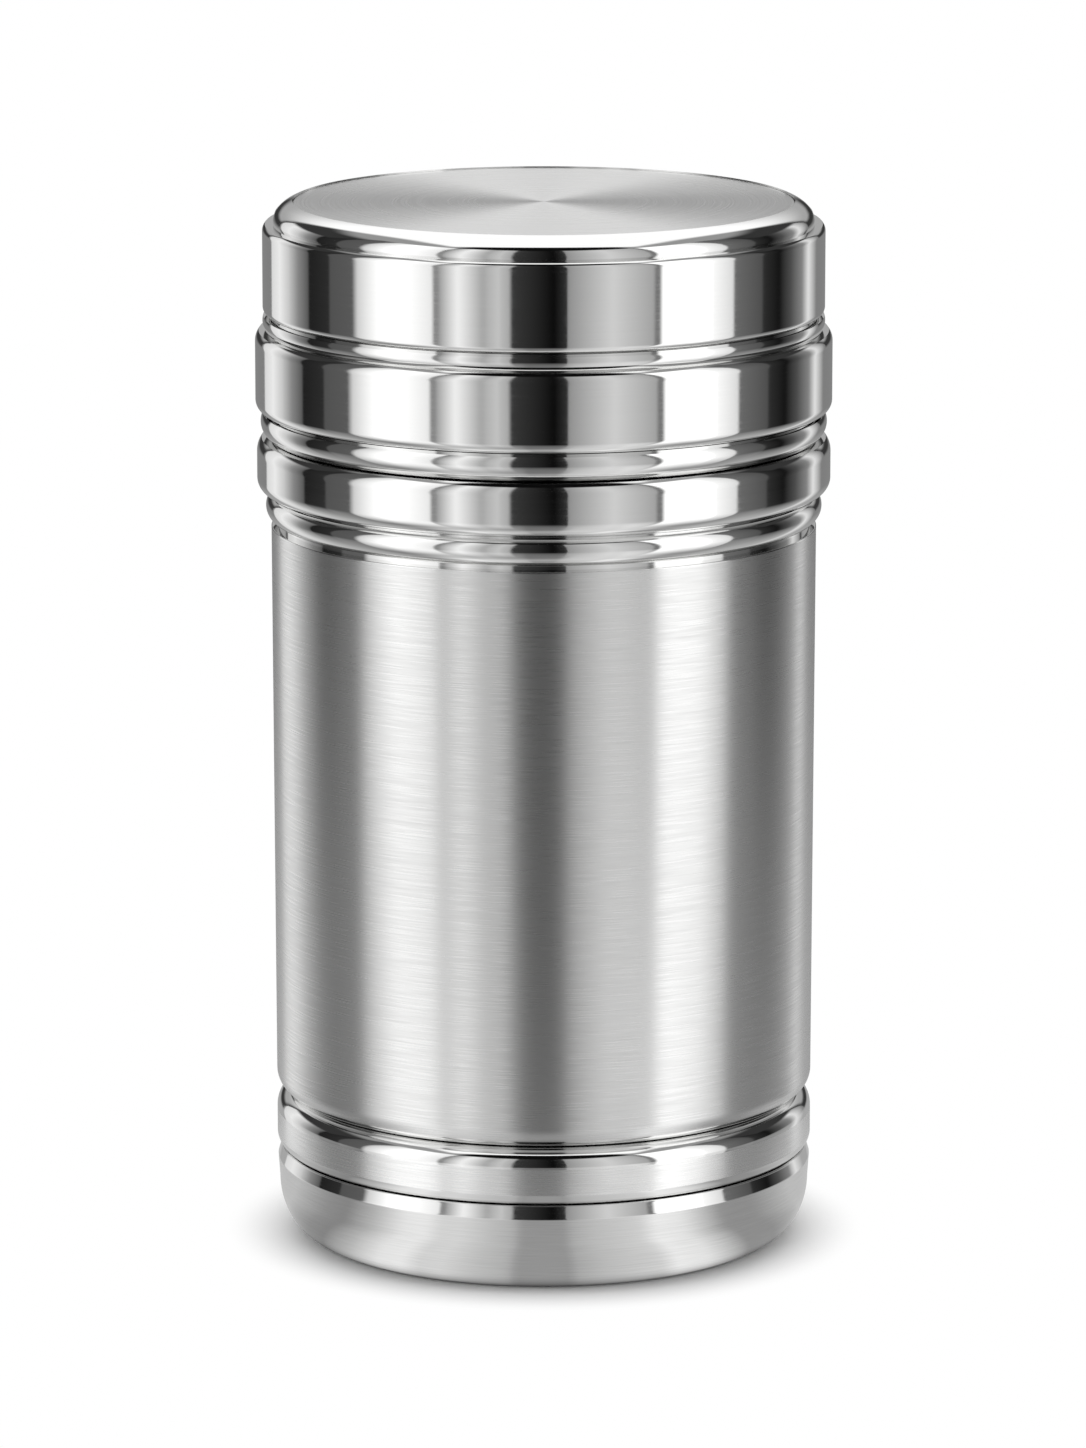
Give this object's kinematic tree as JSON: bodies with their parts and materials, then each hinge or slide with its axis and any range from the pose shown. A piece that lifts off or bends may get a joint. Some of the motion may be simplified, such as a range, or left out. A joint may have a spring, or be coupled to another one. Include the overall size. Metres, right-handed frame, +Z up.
{
  "type": "spice shaker",
  "caption": "Round double-walled steel spice shaker with rolled bands, a screw-on shaker head, a dial that picks the holes, and a screw-on lid.",
  "frame": {"origin": "centre of the foot, on the surface that the shaker stands on", "axes": "+Z up along the shaker's axis, -Y towards the front"},
  "size_m": [0.0724, 0.0724, 0.1325],
  "materials": {
    "brushed_steel": "fine lines brushed round the axis",
    "satin_steel": "satin flat with polished edges",
    "spun_steel": "spun, brushed in circles",
    "polished_steel": "mirror-polished stainless steel",
    "drawn_steel": "plain drawn stainless steel",
    "moulded_plastic": "fine moulded texture",
    "silicone_black": "soft matte silicone",
    "silicone_white": "soft matte food-grade silicone"
  },
  "bodies": {
    "canister": {"base_cup": "brushed_steel", "foot_pad": "silicone_black", "base_ring": "satin_steel", "body_shell": "brushed_steel", "inner_liner": "drawn_steel", "neck_sleeve": "drawn_steel", "shoulder_bead": "polished_steel"},
    "head_seal": {"head_gasket": "silicone_white"},
    "head": {"head_frame": "moulded_plastic", "collar_band": "polished_steel", "collar_bead": "polished_steel", "friction_ring": "silicone_black", "window_plate": "drawn_steel", "plate_screws": "polished_steel", "pivot_screw": "polished_steel", "pivot_nut": "polished_steel", "spring_washer": "drawn_steel"},
    "dial": {"dial_frame": "moulded_plastic", "dial_band": "polished_steel", "neck_bead": "polished_steel", "sifter_plate": "drawn_steel"},
    "lid_seal": {"lid_gasket": "silicone_white"},
    "lid": {"lid_shell": "polished_steel", "lid_disc": "spun_steel", "lid_liner": "moulded_plastic"}
  },
  "joints": [
    {"name": "head_rise", "type": "slide", "parent": "canister", "child": "head_seal", "axis": [0, 0, 1], "range_m": [0, 0.016]},
    {"name": "head_turn", "type": "hinge", "parent": "head_seal", "child": "head", "pos_m": [0, 0, 0.1035], "axis": [0, 0, 1], "range_deg": [0, 720]},
    {"name": "dial_turn", "type": "hinge", "parent": "head", "child": "dial", "pos_m": [0, 0, 0.106], "axis": [0, 0, 1], "range_deg": [0, 120]},
    {"name": "lid_rise", "type": "slide", "parent": "dial", "child": "lid_seal", "axis": [0, 0, 1], "range_m": [0, 0.016]},
    {"name": "lid_turn", "type": "hinge", "parent": "lid_seal", "child": "lid", "pos_m": [0, 0, 0.1257], "axis": [0, 0, 1], "range_deg": [0, 720]}
  ],
  "couplings": [
    {"joint": "head_rise", "follows": "head_turn", "m_per_rad": 0.0012732},
    {"joint": "lid_rise", "follows": "lid_turn", "m_per_rad": 0.0012732}
  ]
}
